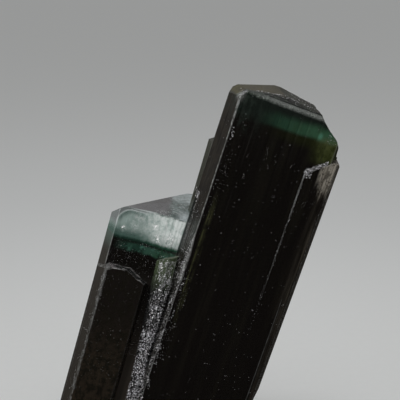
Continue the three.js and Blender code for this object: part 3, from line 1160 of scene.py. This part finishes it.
CAMERA_ELEVATION = 15.0
CAMERA_DISTANCE = 110.0  # millimetres from the point it looks at
CAMERA_LENS = 90.0
AIM_FROM_SHOULDER = Vector((-4.59, 0, -12.17))  # the point it looks at, from the tall prism's shoulder

FLOOR_REACH = 3.0  # metres from its middle to an edge
FLOOR_DROP = 0.00002  # the floor is a hair below the foot
BELOW_GLOW, HORIZON_GLOW, ZENITH_GLOW = 0.01, 0.165, 0.72
HORIZON_TINT = (1.0, 0.96, 0.88)


def place_camera():
    data = bpy.data.cameras.new("camera")
    data.lens = CAMERA_LENS
    data.clip_start, data.clip_end = 0.005, 10
    camera = placed("camera", data)
    rise = math.radians(CAMERA_ELEVATION)
    back = Vector((0, -math.cos(rise), math.sin(rise)))
    camera.location = (shoulder + AIM_FROM_SHOULDER + back * CAMERA_DISTANCE) * MM
    camera.rotation_euler = (math.radians(90) - rise, 0, 0)
    bpy.context.scene.camera = camera


def floor_material():
    """Pale paper, with a painted fall-off of light: darker away from the crystal."""
    n = Nodes("floor_paper")
    coords = n.new("TexCoord", {}, "Object")
    fibre = n.noise(coords, (900, 900, 900), detail=3)
    pale = n.mix(fibre, (0.80, 0.815, 0.815), (0.84, 0.855, 0.855))
    # painted light: the paper darkens away from the crystal as if lit by a pool of light there
    light_falloff = n.new("VectorMath", {0: coords}, "Value", operation="LENGTH")(-0.02, 0.12)
    n.put(n.shader.inputs["Base Color"], n.mix(light_falloff, pale, (0.68, 0.695, 0.7)))
    n.shader.inputs["Roughness"].default_value = 0.9
    n.shader.inputs["Specular IOR Level"].default_value = 0.1
    return n.material


def build_floor():
    """A wide plain floor. Polished faces don't mirror it, so they stay as dark as under a black flag."""
    corners = [(x, y, -FLOOR_DROP) for x, y in ((-1, -1), (1, -1), (1, 1), (-1, 1))]
    mesh = bpy.data.meshes.new("floor")
    mesh.from_pydata([(x * FLOOR_REACH, y * FLOOR_REACH, z) for x, y, z in corners], [], [(0, 1, 2, 3)])
    mesh.materials.append(floor_material())
    floor = placed("floor", mesh)
    floor.visible_glossy = False
    return floor


def area_light(name, place, aim, side, power):
    """A square soft light, its side in metres and its power in watts."""
    data = bpy.data.lights.new(name, "AREA")
    data.size = side
    data.energy = power
    lamp = placed(name, data)
    lamp.location = place
    lamp.rotation_euler = (Vector(aim) - Vector(place)).to_track_quat("-Z", "Y").to_euler()
    return lamp


def build_lights(pieces, floor):
    """An overhead light that lights only the floor, and one from the front left only on the pieces."""
    overhead = area_light("overhead", place=(0, 0.01, 0.2), aim=(0, 0.01, 0), side=0.08, power=0.1)
    front = area_light("front_left", place=(-0.22, -0.2, 0.3), aim=(0, 0, 0.02), side=0.1, power=1.4)
    for lamp, lit in ((overhead, [floor]), (front, pieces)):
        only = bpy.data.collections.new(f"lit_by_{lamp.name}")
        for thing in lit:
            only.objects.link(thing)
        lamp.light_linking.receiver_collection = only


def build_world():
    """Pale overhead, dimmer at the horizon and dark below it."""
    world = bpy.data.worlds.new("studio")
    world.use_nodes = True
    tree = world.node_tree
    coords = tree.nodes.new("ShaderNodeTexCoord")
    split = tree.nodes.new("ShaderNodeSeparateXYZ")
    glow = tree.nodes.new("ShaderNodeValToRGB")
    ground, horizon, haze, zenith = 0.42, 0.5, 0.66, 1.0  # places on the ramp from below to overhead
    steps = glow.color_ramp.elements
    steps[0].position, steps[0].color = ground, (BELOW_GLOW, BELOW_GLOW, BELOW_GLOW, 1)
    steps[1].position, steps[1].color = zenith, (ZENITH_GLOW, ZENITH_GLOW, ZENITH_GLOW, 1)
    for position in (horizon, haze):
        steps.new(position).color = (*(HORIZON_GLOW * part for part in HORIZON_TINT), 1)
    height = tree.nodes.new("ShaderNodeMapRange")
    height.inputs["From Min"].default_value = -1.0
    tree.links.new(coords.outputs["Generated"], split.inputs[0])
    tree.links.new(split.outputs[2], height.inputs["Value"])
    tree.links.new(height.outputs["Result"], glow.inputs[0])
    background = tree.nodes["Background"]
    tree.links.new(glow.outputs["Color"], background.inputs["Color"])
    bpy.context.scene.world = world


# -------- the scene

placeholder = bpy.data.materials.new("placeholder")
shoulder = shoulder_position()
place_camera()

crystal = finished_solid()
crystal.name = "crystal_group"
crystal.data.materials.append(tourmaline_material())
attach(crystal, "root")
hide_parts("tourmaline_crystal")

surface = BVHTree.FromPolygons(*upright_mesh_arrays(crystal))
white = grain_material()
scattered = [etched_grains(surface), white_dust(surface)]
for grains in scattered:
    grains.data.materials.append(white)
    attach(grains, "root")

floor = build_floor()
build_world()
build_lights([crystal, *scattered], floor)
bpy.context.scene.view_settings.view_transform = "Standard"
